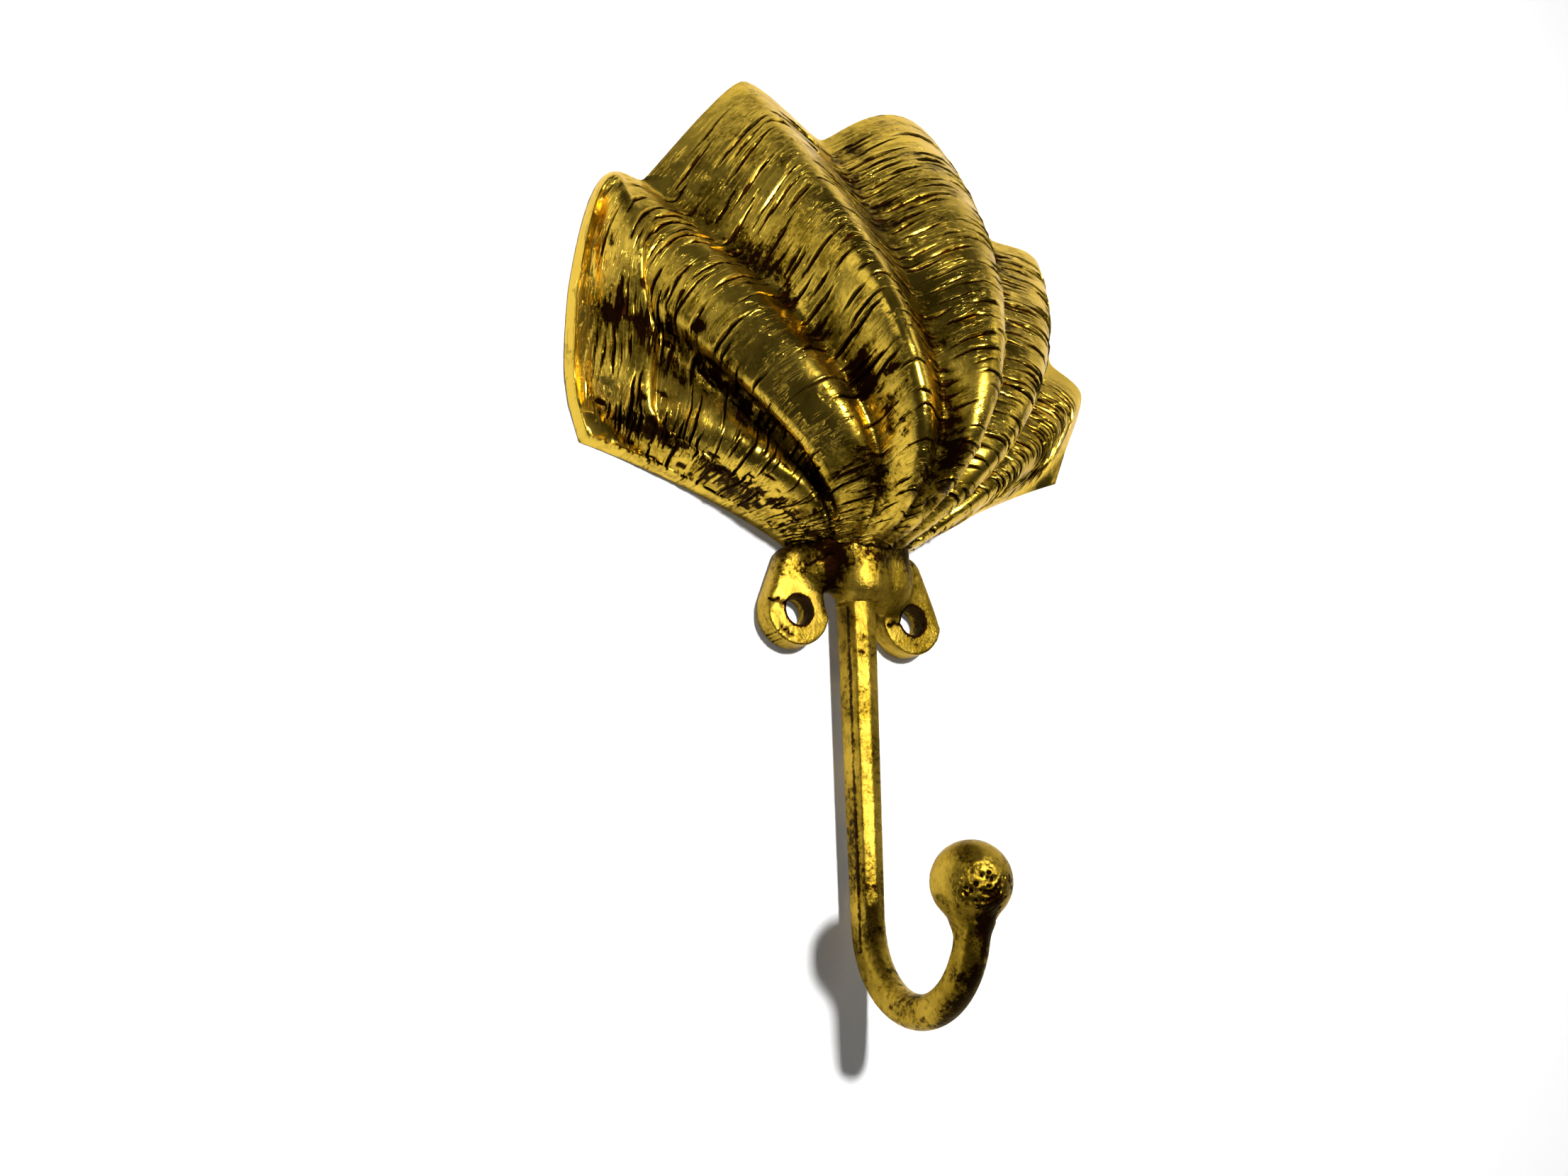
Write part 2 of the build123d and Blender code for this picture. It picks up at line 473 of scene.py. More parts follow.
@dataclass(frozen=True)
class AntiqueBrass:
    """Polished yellow brass, tarnished to olive brown, with a near-black patina in its cuts and hollows; on the
    hook the same dark colour also paints shade beside the boss and a dark reflection down the rod.
    """

    name: str = "antique_brass"
    polished: Triple = (0.64, 0.43, 0.05)
    grazing: Triple = (0.92, 0.82, 0.6)
    tarnished: Triple = (0.24, 0.15, 0.009)
    # This dark colour also paints the shade beside the boss and the dark reflection down the rod.
    patina: Triple = (0.014, 0.004, 0.0008)
    polished_roughness: float = 0.24
    patina_roughness: float = 0.5
    roughness_spread: tuple[float, float] = (0.75, 1.5)
    grain: float = 0.03
    granular: float = 0.35
    coarse_strength: float = 0.6
    strokes: float = 0.0
    stroke_sizes: tuple[Triple, ...] = ((0.16, 0.8, 0.03), (0.3, 1.5, 0.022))
    pits_per_metre: float = 1100.0
    pit_depth: float = 0.5
    pit_stain: float = 0.5
    patchiness: float = 0.9
    speckle: float = 0.8
    dark_range: tuple[float, float] = (0.4, 0.62)
    dull_range: tuple[float, float] = (0.1, 0.55)

    def build(self) -> bpy.types.Material:
        """Builds the node tree.

        Returns:
            The material. It reads the point attributes "stain", "flow" and "pitted" of the pieces that wear it.
        """
        nodes = Nodes(self.name)
        place = nodes.add("TexCoord", {})["Object"]
        cloud = partial(nodes.cloud, place)
        cells = nodes.add("TexVoronoi", {"Vector": place, "Scale": self.pits_per_metre})["Distance"]
        pits = nodes.combine("MULTIPLY", nodes.ramp(cells, 0.5, 0.15), nodes.share("pitted"))
        # The attribute holds real patina, and on the hook also painted shade beside the boss and a painted dark
        # reflection down the rod.
        spread = nodes.added(nodes.share("stain_and_shade"), cloud(230, 5), self.patchiness, 0.5)
        spread = nodes.added(spread, cloud(1500, 4, 0.7), self.speckle, 0.5)
        relief = None
        if self.strokes:
            lines = nodes.combine("MAXIMUM", *(self._hairline(nodes, cloud, *sizes) for sizes in self.stroke_sizes))
            spread = nodes.added(spread, lines, self.strokes)
            relief = nodes.bump(lines, 4 * self.grain, None, invert=True)
        spread = nodes.added(spread, pits, self.pit_stain)
        dark = nodes.ramp(spread, *self.dark_range)
        dull = nodes.ramp(nodes.added(spread, cloud(110, 4), 1.0, 0.5), *self.dull_range)
        bare = nodes.blend(dull, (*self.polished, 1), (*self.tarnished, 1))
        low, high = (self.polished_roughness * share for share in self.roughness_spread)
        polish = {"Value": cloud(60, 4), "From Min": 0.35, "From Max": 0.65, "To Min": low, "To Max": high}
        rough = {"Factor": dark, 2: nodes.add("MapRange", polish)["Result"], 3: self.patina_roughness}
        relief = nodes.bump(pits, self.pit_depth, relief, invert=True)
        relief = nodes.bump(cloud(600, 5), 4 * self.grain, relief, self.coarse_strength)
        relief = nodes.bump(cloud(2600, 4, 0.7), self.grain, relief, self.granular)
        nodes.feed(nodes.shader, {
            "Metallic": 1.0, "Specular Tint": (*self.grazing, 1), "Normal": relief,
            "Base Color": nodes.blend(dark, bare, (*self.patina, 1)), "Roughness": nodes.add("Mix", rough)[0]})
        return nodes.material

    @staticmethod
    def _hairline(nodes: Nodes, cloud: Callable[..., bpy.types.NodeSocket], across: float, along: float,
                  width: float) -> bpy.types.NodeSocket:
        """Fine wavy lines that run across the flow, broken into strokes.

        Args:
            nodes: the node tree.
            cloud: makes a soft noise over the piece.
            across: how many strokes fit in a millimetre along their length.
            along: how many fit in a millimetre side by side.
            width: their width, as a share of the noise's range.

        Returns:
            1 on a line and 0 beside it.
        """
        flow = nodes.add("Attribute", {}, attribute_name="flow")["Vector"]
        stretched = nodes.add("Mapping", {"Vector": flow, "Scale": (across, along, 1)})["Vector"]
        waves = nodes.cloud(stretched, 1.0, 2.0, 0.5, 0.35)
        from_middle = nodes.combine("ABSOLUTE", nodes.combine("SUBTRACT", waves, 0.5, False), 0.0)
        broken = nodes.ramp(cloud(260, 2), 0.45, 0.6)
        return nodes.combine("MULTIPLY", nodes.ramp(from_middle, width, 0.3 * width), broken)


def deselect() -> None:
    """Leaves nothing selected and no object in edit mode."""
    if bpy.context.object and bpy.context.object.mode != "OBJECT":
        bpy.ops.object.mode_set(mode="OBJECT")
    bpy.ops.object.select_all(action="DESELECT")


def make_active(piece: bpy.types.Object) -> None:
    """Selects one object alone and makes it the active one."""
    deselect()
    piece.select_set(True)
    bpy.context.view_layer.objects.active = piece


def baked() -> bpy.types.Object:
    """The active object, with its place, turn and size moved into its mesh."""
    bpy.ops.object.transform_apply(location=True, rotation=True, scale=True)
    return bpy.context.object


def joined(pieces: list[bpy.types.Object]) -> bpy.types.Object:
    """Joins meshes into the first one, with its place in its mesh."""
    make_active(pieces[0])
    for piece in pieces:
        piece.select_set(True)
    bpy.ops.object.join()
    return baked()


def modified(piece: bpy.types.Object, kind: str, **settings: object) -> bpy.types.Object:
    """Gives a piece a modifier and applies it.

    Args:
        piece: the piece.
        kind: the modifier's type.
        **settings: its settings.

    Returns:
        The same piece.
    """
    make_active(piece)
    modifier = piece.modifiers.new(kind.lower(), kind)
    for name, value in settings.items():
        setattr(modifier, name, value)
    bpy.ops.object.modifier_apply(modifier=modifier.name)
    return piece


def edit_all(*steps: Callable[[], object]) -> None:
    """Runs each step on all of the active mesh, in edit mode."""
    bpy.ops.object.mode_set(mode="EDIT")
    for step in steps:
        bpy.ops.mesh.select_all(action="SELECT")
        step()
    bpy.ops.object.mode_set(mode="OBJECT")


def named(piece: bpy.types.Object, name: str) -> bpy.types.Object:
    """The piece, with this name for itself and its mesh."""
    piece.name = piece.data.name = name
    return piece


def points_of(piece: bpy.types.Object) -> np.ndarray:
    """The piece's vertices, in millimetres."""
    flat = np.zeros(len(piece.data.vertices) * 3)
    piece.data.vertices.foreach_get("co", flat)
    return flat.reshape(-1, 3) / MM


def set_points(piece: bpy.types.Object, points: np.ndarray) -> None:
    """Moves the piece's vertices to these points, which are in millimetres."""
    piece.data.vertices.foreach_set("co", (points * MM).ravel())
    piece.data.update()


def set_share(piece: bpy.types.Object, name: str, share: np.ndarray) -> None:
    """Writes a value from 0 to 1 at each vertex, such as how dark the patina is, for the finish to read."""
    layer = piece.data.attributes.get(name) or piece.data.attributes.new(name, "FLOAT", "POINT")
    layer.data.foreach_set("value", unit(share).astype(np.float32).ravel())


def set_flow(piece: bpy.types.Object, flow: np.ndarray) -> None:
    """Writes each vertex's place across and along the ribs, in millimetres, where the strokes are laid out."""
    layer = piece.data.attributes.get("flow") or piece.data.attributes.new("flow", "FLOAT_VECTOR", "POINT")
    layer.data.foreach_set("vector", flow.astype(np.float32).ravel())


@dataclass
class Shell:
    """The ribbed clam shell, hollow behind, with growth lines cut across its ribs.

    Places across go by the fan's lines, from 0 at the lower left, and places along go from the root to the rim.
    """

    fan: Fan = field(default_factory=Fan)
    cuts: GrowthLines = field(default_factory=GrowthLines)
    cracks: GrowthLines = field(default_factory=lambda: GrowthLines(
        seed=12, row_gap=2.3, half_length=(2.0, 6.0), gap=(0.5, 5.0), slant=0.25, depth=(0.1, 0.35)))
    rows: int = 520
    inner_rows: int = 60
    strips_per_patch: int = 11
    smooth_angle: float = 50.0
    inner_stain: float = 0.35
    rim_band: float = 1.8
    swell: float = 0.13
    swell_size: float = 6.0
    crust: float = 0.16
    crust_size: float = 1.1
    crust_patch_size: float = 8.0
    ladder_size: float = 5.0
    ladder_stretch: float = 0.45
    torn_size: float = 1.6
    patch_width: float = 6.5
    minor_rib_place: float = 3.62
    minor_rib_width: float = 0.14
    minor_rib_height: float = 0.7
    minor_groove_offset: float = 0.34
    minor_groove_width: float = 0.12
    minor_groove_share: float = 0.8
    pocket: Patch = Patch(7.85, 0.165, 0.3, 0.024, 0.3)
    pocket_depth: float = 1.1
    patches: tuple[Patch, ...] = tuple(Patch(*row) for row in (
        (2.78, 0.93, 0.32, 0.055, 1.0), (2.95, 0.85, 0.4, 0.06, 1.0), (2.6, 0.77, 0.3, 0.06, 0.8),
        (3.3, 0.75, 0.25, 0.08, 0.7), (3.15, 0.58, 0.2, 0.1, 0.6), (5.1, 0.58, 0.3, 0.06, 0.5),
        (5.3, 0.46, 0.35, 0.06, 0.6), (4.35, 0.28, 0.35, 0.07, 0.6), (7.5, 0.29, 0.28, 0.06, 0.9),
        (3.35, 0.32, 0.3, 0.1, 0.6), (7.85, 0.2, 0.25, 0.02, 1.0), (0.9, 0.5, 0.5, 0.16, 0.7),
        (1.25, 0.76, 0.45, 0.12, 0.7), (7.4, 0.48, 0.2, 0.05, 0.5), (2.7, 0.5, 0.3, 0.1, 0.6),
        (5.6, 0.36, 0.3, 0.07, 0.5), (6.6, 0.2, 0.4, 0.05, 0.5), (1.2, 0.25, 0.6, 0.1, 0.6),
        (1.95, 0.88, 0.3, 0.05, -0.7), (2.1, 0.7, 0.25, 0.08, -0.7), (3.5, 0.48, 0.2, 0.09, -0.7),
        (2.9, 0.97, 0.7, 0.03, -0.5), (2.2, 0.8, 0.3, 0.1, -0.7), (1.6, 0.6, 0.3, 0.1, -0.6),
        (7.7, 0.38, 0.3, 0.06, -0.7), (4.0, 0.6, 0.25, 0.2, -0.6), (6.2, 0.5, 0.25, 0.2, -0.6)))
    left_wall_height: float = 9.5
    left_wall_run: float = 0.8
    left_wall_round: float = 1.2
    left_wall_place: float = 3.4

    def build(self) -> bpy.types.Object:
        """Builds the shell.

        Returns:
            The shell as one closed mesh.
        """
        outer = self._skin("shell", self.rows, Skin.OUTER)
        inner = self._skin("shell_inside", self.inner_rows, Skin.INNER)
        shell = joined([outer, inner])
        for side in self._open_sides():
            self._bridge(shell, side)
        edit_all(bpy.ops.mesh.normals_make_consistent)
        bpy.ops.object.shade_smooth_by_angle(angle=math.radians(self.smooth_angle))
        return shell

    @property
    def columns(self) -> int:
        """How many columns of vertices run from the root to the rim."""
        return self.fan.patches * self.strips_per_patch + 1

    def _open_sides(self) -> list[np.ndarray]:
        """The vertices along the root, the rim and the two sides, of the outer and the inner skin together."""
        outer = np.arange(self.rows * self.columns).reshape(self.rows, self.columns)
        inner = outer.size + np.arange(self.inner_rows * self.columns).reshape(self.inner_rows, self.columns)
        sides = (np.s_[0, :], np.s_[-1, :], np.s_[:, 0], np.s_[:, -1])
        return [np.concatenate([outer[side], inner[side]]) for side in sides]

    def _bridge(self, shell: bpy.types.Object, side: np.ndarray) -> None:
        """Closes one side with a strip of faces between its outer and its inner edge.

        Args:
            shell: the two skins as one mesh.
            side: the numbers of the side's vertices.
        """
        mesh = shell.data
        inside = np.zeros(len(mesh.vertices), dtype=bool)
        inside[side] = True
        ends = np.zeros(len(mesh.edges) * 2, dtype=np.int32)
        mesh.edges.foreach_get("vertices", ends)
        ends = ends.reshape(-1, 2)
        first_inner = self.rows * self.columns
        kept = inside[ends].all(axis=1) & ((ends[:, 0] < first_inner) == (ends[:, 1] < first_inner))
        mesh.polygons.foreach_set("select", np.zeros(len(mesh.polygons), dtype=bool))
        mesh.vertices.foreach_set("select", inside)
        mesh.edges.foreach_set("select", kept)
        bpy.ops.object.mode_set(mode="EDIT")
        bpy.ops.mesh.select_mode(type="EDGE")
        bpy.ops.mesh.bridge_edge_loops()
        bpy.ops.object.mode_set(mode="OBJECT")

    def _skin(self, name: str, rows: int, skin: Skin) -> bpy.types.Object:
        """Lays a grid over one side of the wall, and carves it where it is the outer one.

        Args:
            name: the object's name.
            rows: how many rows of vertices run across the ribs.
            skin: the side of the wall.

        Returns:
            The open mesh of that side.
        """
        along = self.fan.even_places(rows)
        across = np.linspace(0, self.fan.patches, self.columns)
        points = self.fan.points(along, across, skin)
        middle = points[:, len(across) // 2]
        from_root = np.cumsum(np.linalg.norm(np.diff(middle, axis=0, prepend=middle[:1]), axis=1))[:, None]
        flow = np.zeros_like(points)
        flow[:, :, 0], flow[:, :, 1] = across * self.patch_width, from_root
        stain_and_shade = np.full(points.shape[:2], self.inner_stain)
        if skin is Skin.OUTER:
            walled = self._with_left_wall(Net(points, along, across), from_root)
            points, stain_and_shade = self._carved(Net(walled, along, across), flow)
        deselect()
        bpy.ops.mesh.primitive_grid_add(x_subdivisions=len(across) - 1, y_subdivisions=rows - 1, size=1)
        piece = named(bpy.context.object, name)
        set_points(piece, points.reshape(-1, 3))
        set_share(piece, "stain_and_shade", stain_and_shade)
        set_flow(piece, flow)
        return piece

    def _with_left_wall(self, net: Net, from_root: np.ndarray) -> np.ndarray:
        """Raises the steep wall that the shell has along its left side and its lower left edge.

        Args:
            net: the plain outer skin.
            from_root: how far each row is from the root, in millimetres.

        Returns:
            The raised points.
        """
        from_low_edge = np.linalg.norm(net.points[:, :1] - net.points, axis=2)
        left = unit((4.5 - net.across) / 0.7)[None, :] * unit((20 - net.from_rim) / 8)
        low = unit((2.6 - net.across) / 1.4)[None, :] * unit((from_root - 9) / 12)
        there = np.maximum(left, low)
        there = there * there * (3 - 2 * there)
        level = self.left_wall_height * there * (1 - np.exp(-net.from_rim / self.left_wall_run))
        level *= 1 - np.exp(-from_low_edge / self.left_wall_run)
        gap = level + net.points[:, :, 1]
        bend = self.left_wall_round
        raised = 0.5 * (gap + np.hypot(gap, bend) - bend * np.exp(gap / 3))
        walled = net.points.copy()
        walled[:, :, 1] -= np.where(there > 0, raised.clip(0), 0)
        return walled

    def _forms(self, net: Net, dent: np.ndarray) -> np.ndarray:
        """The small rib with its groove on the left, and the oval pocket on the right, in millimetres outwards."""
        from_rib = net.across - self.minor_rib_place
        groove = bell(from_rib + self.minor_groove_offset, self.minor_groove_width)
        ridge = bell(from_rib, self.minor_rib_width) - self.minor_groove_share * groove
        fading = unit((net.along - 0.18) * 8) * unit((0.85 - net.along) * 6)
        return self.minor_rib_height * ridge[None, :] * fading[:, None] - self.pocket_depth * dent

    def _cut(self, net: Net, left_wall: np.ndarray) -> np.ndarray:
        """How deep the growth lines are, with cracks among them in the lower left corner and on the left wall."""
        cuts = self.cuts.cut(net)
        corner = unit(1.4 - net.across / 2.2)[None, :]
        cracks = self.cracks.cut(net.turned).T * np.maximum(corner, left_wall)
        return np.where(np.abs(cracks) > np.abs(cuts), cracks, cuts)

    def _carved(self, net: Net, flow: np.ndarray) -> tuple[np.ndarray, np.ndarray]:
        """Adds the hand-worked swell, the crust of the valleys, the forms, the growth lines and the cracks.

        Args:
            net: the outer skin with its left wall.
            flow: each point's place across and along the ribs, in millimetres.

        Returns:
            The carved points, and how dark the patina is at each.
        """
        height = -net.points[:, :, 1]
        free = unit(np.minimum(net.from_rim, height) / self.rim_band - 0.6)
        valley = (0.5 - 0.5 * np.cos(math.pi * net.across))[None, :]
        umbo = unit(1.15 - net.along * 3.0)[:, None]
        left_wall = unit(1 - np.abs(net.across - self.left_wall_place) / 0.8)[None, :]
        left_wall = left_wall * unit((net.along - 0.45) * 4)[:, None]
        cuts = self._cut(net, left_wall)
        unfolded = np.stack([flow[:, :, 0] * 0.3, flow[:, :, 1], height * 0.2], axis=2)
        torn = ripple(unfolded, self.torn_size, 4)
        patches = sum(patch.shade(net, torn) for patch in self.patches)
        swell = ripple(net.points, self.swell_size, 2)
        crust = ripple(net.points, self.crust_size, 3, shift=40.0)
        patchy = unit(ripple(net.points, self.crust_patch_size, 4, shift=80.0) * 2.2 + 0.35)
        squeezed = net.points * [1.0, 1.0, self.ladder_stretch]
        ladder = unit(ripple(squeezed, self.ladder_size, 3, shift=120.0) * 2.5 - 0.1)
        rough = unit(patchy * (0.2 + 0.8 * valley**2) + 0.7 * left_wall * patchy + 0.5 * ladder * umbo)
        rough = unit(rough + 0.6 * np.maximum(patches, 0))
        beside, before = self.pocket.sides(net)
        dent = np.exp(-2 * (beside**2 + before**2))
        move = self.swell * swell + self.crust * crust * rough - cuts + self._forms(net, dent)
        carved = net.points + net.outward * (move * free)[:, :, None]
        carved[:, :, 1] = np.minimum(carved[:, :, 1], 0)
        stain_and_shade = 0.13 + unit(cuts / 0.12) * 0.9 + 0.27 * rough + 0.14 * valley**4 + 0.2 * umbo
        stain_and_shade = stain_and_shade + 0.28 * patches + self.pocket.darkness * dent
        return carved, unit(stain_and_shade) * free + 0.03


@dataclass
class HookAndLugs:
    """The neck with its two screw lugs, the boss, and the rod that bends up to the ball.

    A web is an egg that melts the forms beside it together: its middle, and its radius along each axis. A flat
    faces some degrees round the rod and lies some radii out. A crack goes from one (x, z) to another.
    """

    hole_spacing: float = 19.5
    hole_radius: float = 2.15
    lug_radius: float = 5.05
    lug_thickness: float = 3.7
    lug_edge_round: float = 1.6
    waist_half_width: float = 12.2
    waist_height: float = 7.0
    waist_round: float = 3.0
    neck_top: float = 11.0
    neck_depth: float = 8.6
    neck_top_half_width: float = 8.0
    neck_round: float = 2.4
    slot_top: float = 3.4
    boss_radius: float = 4.4
    boss_standoff: float = 4.9
    boss_bottom: float = 1.6
    hook_offset: float = 0.2
    rod_standoff: float = 3.8
    rod_top_radius: float = 3.0
    rod_low_radius: float = 2.4
    bend_centre_height: float = -43.8
    bend_radius: float = 12.2
    limb_radius: float = 2.45
    limb_top_radius: float = 2.9
    ball_radius: float = 5.4
    ball_height: float = -39.8
    webs: tuple[tuple[Triple, Triple], ...] = (
        ((4.8, -3.9, 5.4), (4.4, 4.0, 4.9)), ((0.6, -5.6, 9.8), (7.6, 3.6, 2.4)),
        ((-6.4, -2.8, 7.2), (3.6, 3.2, 4.2)), ((-0.2, -28.0, -42.8), (3.5, 3.4, 5.0)))
    voxel: float = 0.26
    smooth_angle: float = 60.0
    smooth_steps: int = 8
    saddle_steps: int = 160
    seed: int = 5
    rod_flats: tuple[tuple[float, float], ...] = ((-160, 0.86), (-112, 0.965), (-70, 0.95), (-25, 0.92))
    rod_bite: float = 0.85
    side_flat: float = 0.84
    ball_flats: int = 14
    ball_flat: float = 0.955
    bite: float = 0.8
    pits: int = 12
    pits_face: Triple = (-0.15, -1.0, -0.25)
    pits_spread: Triple = (0.42, 0.1, 0.26)
    pit_size: tuple[float, float] = (0.26, 0.42)
    pit_depth: tuple[float, float] = (0.25, 0.5)
    grain_face: Triple = (-0.12, -0.9, -0.25)
    cracks: tuple[tuple[tuple[float, float], tuple[float, float]], ...] = (
        ((-14.2, 1.4), (-11.4, 0.9)), ((5.4, -0.9), (8.0, -0.4)), ((-9.0, 6.4), (-6.0, 7.6)),
        ((-12.6, -2.6), (-10.9, -3.8)))
    crack_width: float = 0.24
    crack_depth: float = 0.3
    # Painted reflection: a dark band down the left front of the rod, at this angle round it in degrees, this wide
    # and this dark.
    painted_reflection_face: float = -157.0
    painted_reflection_width: float = 14.0
    painted_reflection_darkness: float = 0.66
    marks_face: float = -2.3
    marks_width: float = 0.45
    marks_round: float = 48.0

    def build(self) -> bpy.types.Object:
        """Builds the neck, lugs and hook as one smooth casting.

        Returns:
            The joined and remeshed piece.
        """
        webs = [self._web(place, radii) for place, radii in self.webs]
        lugs = [self._lug(side) for side in (-1, 1)]
        piece = joined([*lugs, self._neck(), self._boss(), self._rod(), self._ball(), *webs])
        modified(named(piece, "neck_and_hook"), "REMESH", mode="VOXEL", voxel_size=self.voxel * MM)
        self._soften(piece)
        self._bore(piece)
        points = points_of(piece)
        moved, dark = self._worked(points)
        moved[:, 1] = np.minimum(moved[:, 1], 0)
        set_points(piece, moved)
        # Painted shade beside the boss and the painted dark reflection down the rod go into this attribute with the
        # patina.
        set_share(piece, "stain_and_shade", np.maximum(self._hook_stain_and_shade(points), dark))
        from_grain = (points - self.ball_middle) / self.ball_radius - self.grain_face
        from_grain = np.linalg.norm(from_grain * [1.0, 1.0, 1.3], axis=1)
        set_share(piece, "pitted", 1.6 * bell(from_grain, 0.7) - 0.3)
        set_flow(piece, points)
        bpy.ops.object.shade_smooth_by_angle(angle=math.radians(self.smooth_angle))
        return piece

    def _soften(self, piece: bpy.types.Object) -> None:
        """Smooths the piece a little, and the saddles beside the boss and under the ball much more."""
        points = points_of(piece)
        saddle = unit((points[:, 2] + 0.5) / 2.0) * unit((-points[:, 1] - 2.4) / 1.2)
        under_ball = unit((points[:, 2] + 49) / 1.5) * unit(-43.5 - points[:, 2])
        saddle = np.maximum(saddle, 0.2 * under_ball * (points[:, 1] < -20))
        group, levels = piece.vertex_groups.new(name="saddle"), 5
        for level in range(1, levels + 1):
            chosen = np.flatnonzero(np.ceil(saddle * levels) == level)
            group.add(chosen.tolist(), level / levels, "REPLACE")
        for steps, vertices in ((self.smooth_steps, ""), (self.saddle_steps, "saddle")):
            modified(piece, "SMOOTH", factor=0.5, iterations=steps, vertex_group=vertices)

    def _round_bar(self, radius: float, depth: float, place: Triple, across: bool = False) -> bpy.types.Object:
        """A cylinder of this radius and depth, upright, or from the wall outwards where across is true."""
        deselect()
        bpy.ops.mesh.primitive_cylinder_add(
            vertices=64, radius=radius * MM, depth=depth * MM, location=Vector(place) * MM,
            rotation=(math.pi / 2 if across else 0, 0, 0))
        return baked()

    @staticmethod
    def _bevelled(piece: bpy.types.Object, width: float) -> bpy.types.Object:
        """The same piece with its sharp edges rounded off by this width."""
        return modified(piece, "BEVEL", width=width * MM, segments=5, limit_method="ANGLE")

    def _lug(self, side: int) -> bpy.types.Object:
        """One lug with its arm, on the left for -1 and on the right for 1."""
        depth = self.lug_thickness
        lug = self._round_bar(self.lug_radius, depth, (side * self.hole_spacing / 2, -depth / 2, 0), True)
        waist_x = side * (self.waist_half_width - self.waist_round)
        waist = self._round_bar(self.waist_round, depth, (waist_x, -depth / 2, self.waist_height), True)
        arm = joined([lug, waist])
        edit_all(bpy.ops.mesh.convex_hull)
        return self._bevelled(arm, self.lug_edge_round)

    def _neck(self) -> bpy.types.Object:
        """The block that grows out from between the lugs to the root of the shell."""
        deselect()
        bpy.ops.mesh.primitive_cube_add(size=1)
        neck = bpy.context.object
        corners = points_of(neck)
        top, front = corners[:, 2] > 0, corners[:, 1] < 0
        half = np.where(top, self.neck_top_half_width, self.hole_spacing / 2)
        depth = np.where(top, self.neck_depth, self.lug_thickness)
        set_points(neck, np.stack([np.sign(corners[:, 0]) * half, np.where(front, -depth, 0),
                                   np.where(top, self.neck_top, self.slot_top)], axis=1))
        return self._bevelled(neck, self.neck_round)

    def _boss(self) -> bpy.types.Object:
        """The rounded boss that the rod grows out of."""
        height = self.neck_top - self.boss_bottom
        place = (-self.hook_offset, -self.boss_standoff, self.boss_bottom + height / 2)
        return self._bevelled(self._round_bar(self.boss_radius, height, place), self.neck_round)

    def _rod(self) -> bpy.types.Object:
        """The rod, its bend and the limb under the ball, spun from one ring."""
        deselect()
        top = Vector((-self.hook_offset, -self.rod_standoff, self.neck_top - 2)) * MM
        bpy.ops.mesh.primitive_circle_add(
            vertices=48, radius=self.rod_top_radius * MM, fill_type="NGON", location=top)
        rod = baked()
        foot = Vector((-self.hook_offset, -self.rod_standoff, self.bend_centre_height)) * MM
        centre = foot - Vector((0, self.bend_radius * MM, 0))
        limb = foot - Vector((0, 2 * self.bend_radius * MM, 0))
        middle = Vector((limb.x, limb.y, self.ball_height * MM))
        bpy.ops.object.mode_set(mode="EDIT")
        bpy.ops.mesh.select_all(action="SELECT")
        self._grow(foot - top, foot, self.rod_low_radius / self.rod_top_radius)
        bpy.ops.mesh.spin(steps=32, angle=math.pi, center=centre, axis=(1, 0, 0))
        self._grow(None, limb, self.limb_radius / self.rod_low_radius)
        self._grow(middle - limb, middle, self.limb_top_radius / self.limb_radius)
        edit_all(bpy.ops.mesh.normals_make_consistent)
        return rod

    @staticmethod
    def _grow(run: Vector | None, end: Vector, size: float) -> None:
        """Carries the rod's last ring on by this run, if any, to its end, and makes it so many times as wide."""
        if run is not None:
            bpy.ops.mesh.extrude_region_move(TRANSFORM_OT_translate={"value": run})
        bpy.ops.transform.resize(value=(size, size, 1), center_override=end)

    @property
    def rod_axis(self) -> np.ndarray:
        """The (x, y) of the rod's axis, in millimetres."""
        return np.array([-self.hook_offset, -self.rod_standoff])

    @property
    def ball_middle(self) -> np.ndarray:
        """The middle of the ball, in millimetres."""
        return np.array([-self.hook_offset, -(self.rod_standoff + 2 * self.bend_radius), self.ball_height])

    def _ball(self) -> bpy.types.Object:
        """The ball at the end of the hook."""
        deselect()
        bpy.ops.mesh.primitive_ico_sphere_add(
            subdivisions=5, radius=self.ball_radius * MM, location=Vector(self.ball_middle) * MM)
        return baked()

    def _web(self, place: Triple, radii: Triple) -> bpy.types.Object:
        """An egg at a place, with a radius along each axis."""
        deselect()
        bpy.ops.mesh.primitive_ico_sphere_add(
            subdivisions=4, radius=1, location=Vector(place) * MM, scale=Vector(radii) * MM)
        return baked()

    def _bore(self, piece: bpy.types.Object) -> None:
        """Drills the two screw holes through the lugs."""
        for side in (-1, 1):
            place = (side * self.hole_spacing / 2, 0, 0)
            drill = self._round_bar(self.hole_radius, 4 * self.lug_thickness, place, True)
            modified(piece, "BOOLEAN", operation="DIFFERENCE", object=drill, solver="EXACT")
            bpy.data.objects.remove(drill)

    def _worked(self, points: np.ndarray) -> tuple[np.ndarray, np.ndarray]:
        """Files flats on the rod and the ball, adds pits, cracks and file marks, and paints a dark reflection down
        the rod.

        Args:
            points: the plain piece's vertices.

        Returns:
            The worked vertices, and how dark each is for a pit, a crack, a mark or the painted reflection.
        """
        draw = np.random.default_rng(self.seed)
        moved = points.copy()
        self._file_rod(points, moved)
        self._file_ball(points, moved, draw)
        shades = (self._pit(points, moved, draw), self._crack(moved), self._painted_reflection(points),
                  self._file_lug(points, moved))
        return moved, np.maximum.reduce(shades)

    def _beside_rod(self, points: np.ndarray) -> tuple[np.ndarray, np.ndarray]:
        """The rod's radius at each point's height, and whether the point is on the rod or just beside it."""
        share = unit((self.neck_top - points[:, 2]) / (self.neck_top - self.bend_centre_height))
        radius = self.rod_top_radius + (self.rod_low_radius - self.rod_top_radius) * share
        return radius, np.linalg.norm(points[:, :2] - self.rod_axis, axis=1) < 1.25 * radius

